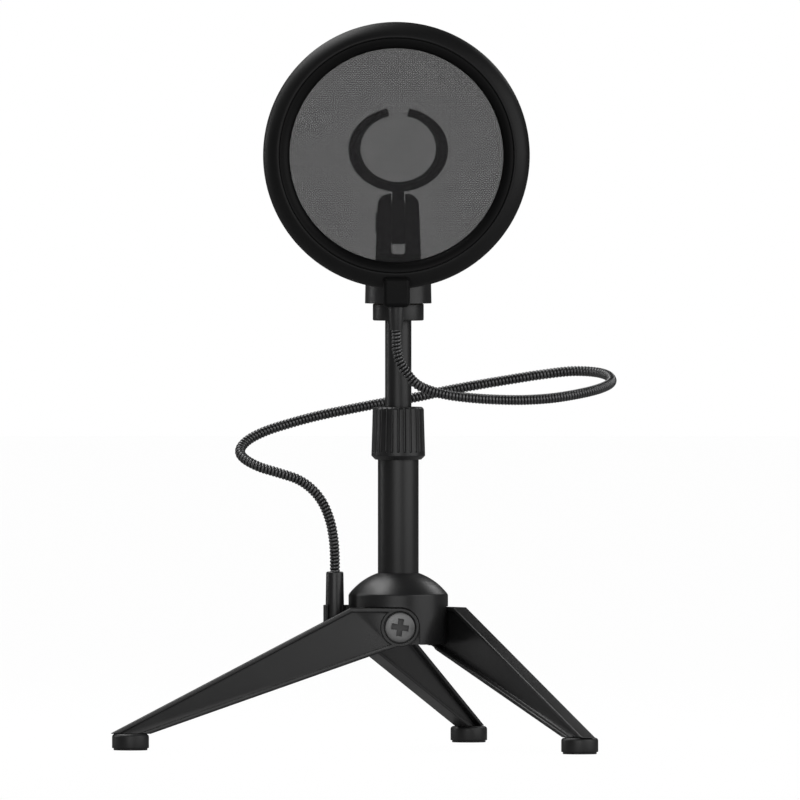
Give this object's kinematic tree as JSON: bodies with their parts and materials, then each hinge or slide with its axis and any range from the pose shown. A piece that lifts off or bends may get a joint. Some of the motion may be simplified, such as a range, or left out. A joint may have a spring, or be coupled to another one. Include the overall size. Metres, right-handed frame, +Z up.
{
  "type": "microphone pop filter on a desktop tripod stand",
  "caption": "Desktop tripod microphone stand with folding legs, telescopic mast, tilting mic clip and a round mesh pop filter on a gooseneck.",
  "frame": {"origin": "on the mast's axis at the plane that the feet stand on", "axes": "+Z up along the mast, -Y towards the front, where the filter ring stands, +X to the right seen from the front"},
  "size_m": [0.1945, 0.1957, 0.2801],
  "materials": {
    "black_plastic": "fine satin moulding, black",
    "black_metal": "satin black coating on steel",
    "dark_steel": "dark plated steel",
    "brass": "turned brass",
    "rubber": "matt black rubber",
    "nylon": "black nylon",
    "screen_cloth": "open black nylon net, two layers"
  },
  "bodies": {
    "base": {"hub": "black_plastic", "hub_bolt": "dark_steel", "tube_plug": "dark_steel", "outer_tube": "black_metal", "clutch_collet": "nylon", "leg_screws": "dark_steel", "leg_washers": "nylon", "leg_inserts": "brass", "neck_bracket": "black_plastic", "bracket_screw": "dark_steel", "ferrule_lower": "black_metal", "gooseneck": "black_metal"},
    "left_leg": {"leg_left": "black_plastic", "foot_left": "rubber"},
    "right_leg": {"leg_right": "black_plastic", "foot_right": "rubber"},
    "rear_leg": {"leg_rear": "black_plastic", "foot_rear": "rubber"},
    "collar": {"clutch_collar": "black_plastic"},
    "mast": {"inner_tube": "black_metal", "tube_bush": "nylon", "thread_stud": "black_metal"},
    "clip_base": {"clip_base": "black_plastic", "clip_insert": "brass", "tilt_screw": "dark_steel", "tilt_nut": "dark_steel"},
    "mic_clip": {"mic_clip": "black_plastic"},
    "filter_head": {"ferrule_upper": "black_metal", "filter_hoop": "black_plastic", "front_clamp_ring": "black_plastic", "rear_clamp_ring": "black_plastic", "front_screen": "screen_cloth", "rear_screen": "screen_cloth", "grub_screw": "dark_steel"}
  },
  "joints": [
    {"name": "left_leg_fold", "type": "hinge", "parent": "base", "child": "left_leg", "pos_m": [0.00058, -0.01654, 0.0471], "axis": [0.0349, -0.9994, 0], "range_deg": [0, 70]},
    {"name": "right_leg_fold", "type": "hinge", "parent": "base", "child": "right_leg", "pos_m": [0.01397, 0.00887, 0.0471], "axis": [0.8443, 0.5358, 0], "range_deg": [0, 70]},
    {"name": "rear_leg_fold", "type": "hinge", "parent": "base", "child": "rear_leg", "pos_m": [-0.0151, 0.00678, 0.0471], "axis": [-0.9121, 0.4099, 0], "range_deg": [0, 70]},
    {"name": "clutch_twist", "type": "hinge", "parent": "base", "child": "collar", "pos_m": [0, 0, 0.1215], "axis": [0, 0, 1], "range_deg": [0, 180]},
    {"name": "mast_slide", "type": "slide", "parent": "base", "child": "mast", "axis": [0, 0, 1], "range_m": [-0.0175, 0.0245]},
    {"name": "clip_swivel", "type": "hinge", "parent": "mast", "child": "clip_base", "pos_m": [0, 0, 0.1714], "axis": [0, 0, 1], "range_deg": [-180, 180]},
    {"name": "clip_tilt", "type": "hinge", "parent": "clip_base", "child": "mic_clip", "pos_m": [0, 0, 0.2025], "axis": [1, 0, 0], "range_deg": [-75, 15]},
    {"name": "filter_tilt", "type": "hinge", "parent": "base", "child": "filter_head", "pos_m": [-0.0007, -0.058, 0.156], "axis": [1, 0, 0], "range_deg": [-6, 30], "deforming": ["gooseneck"]}
  ]
}
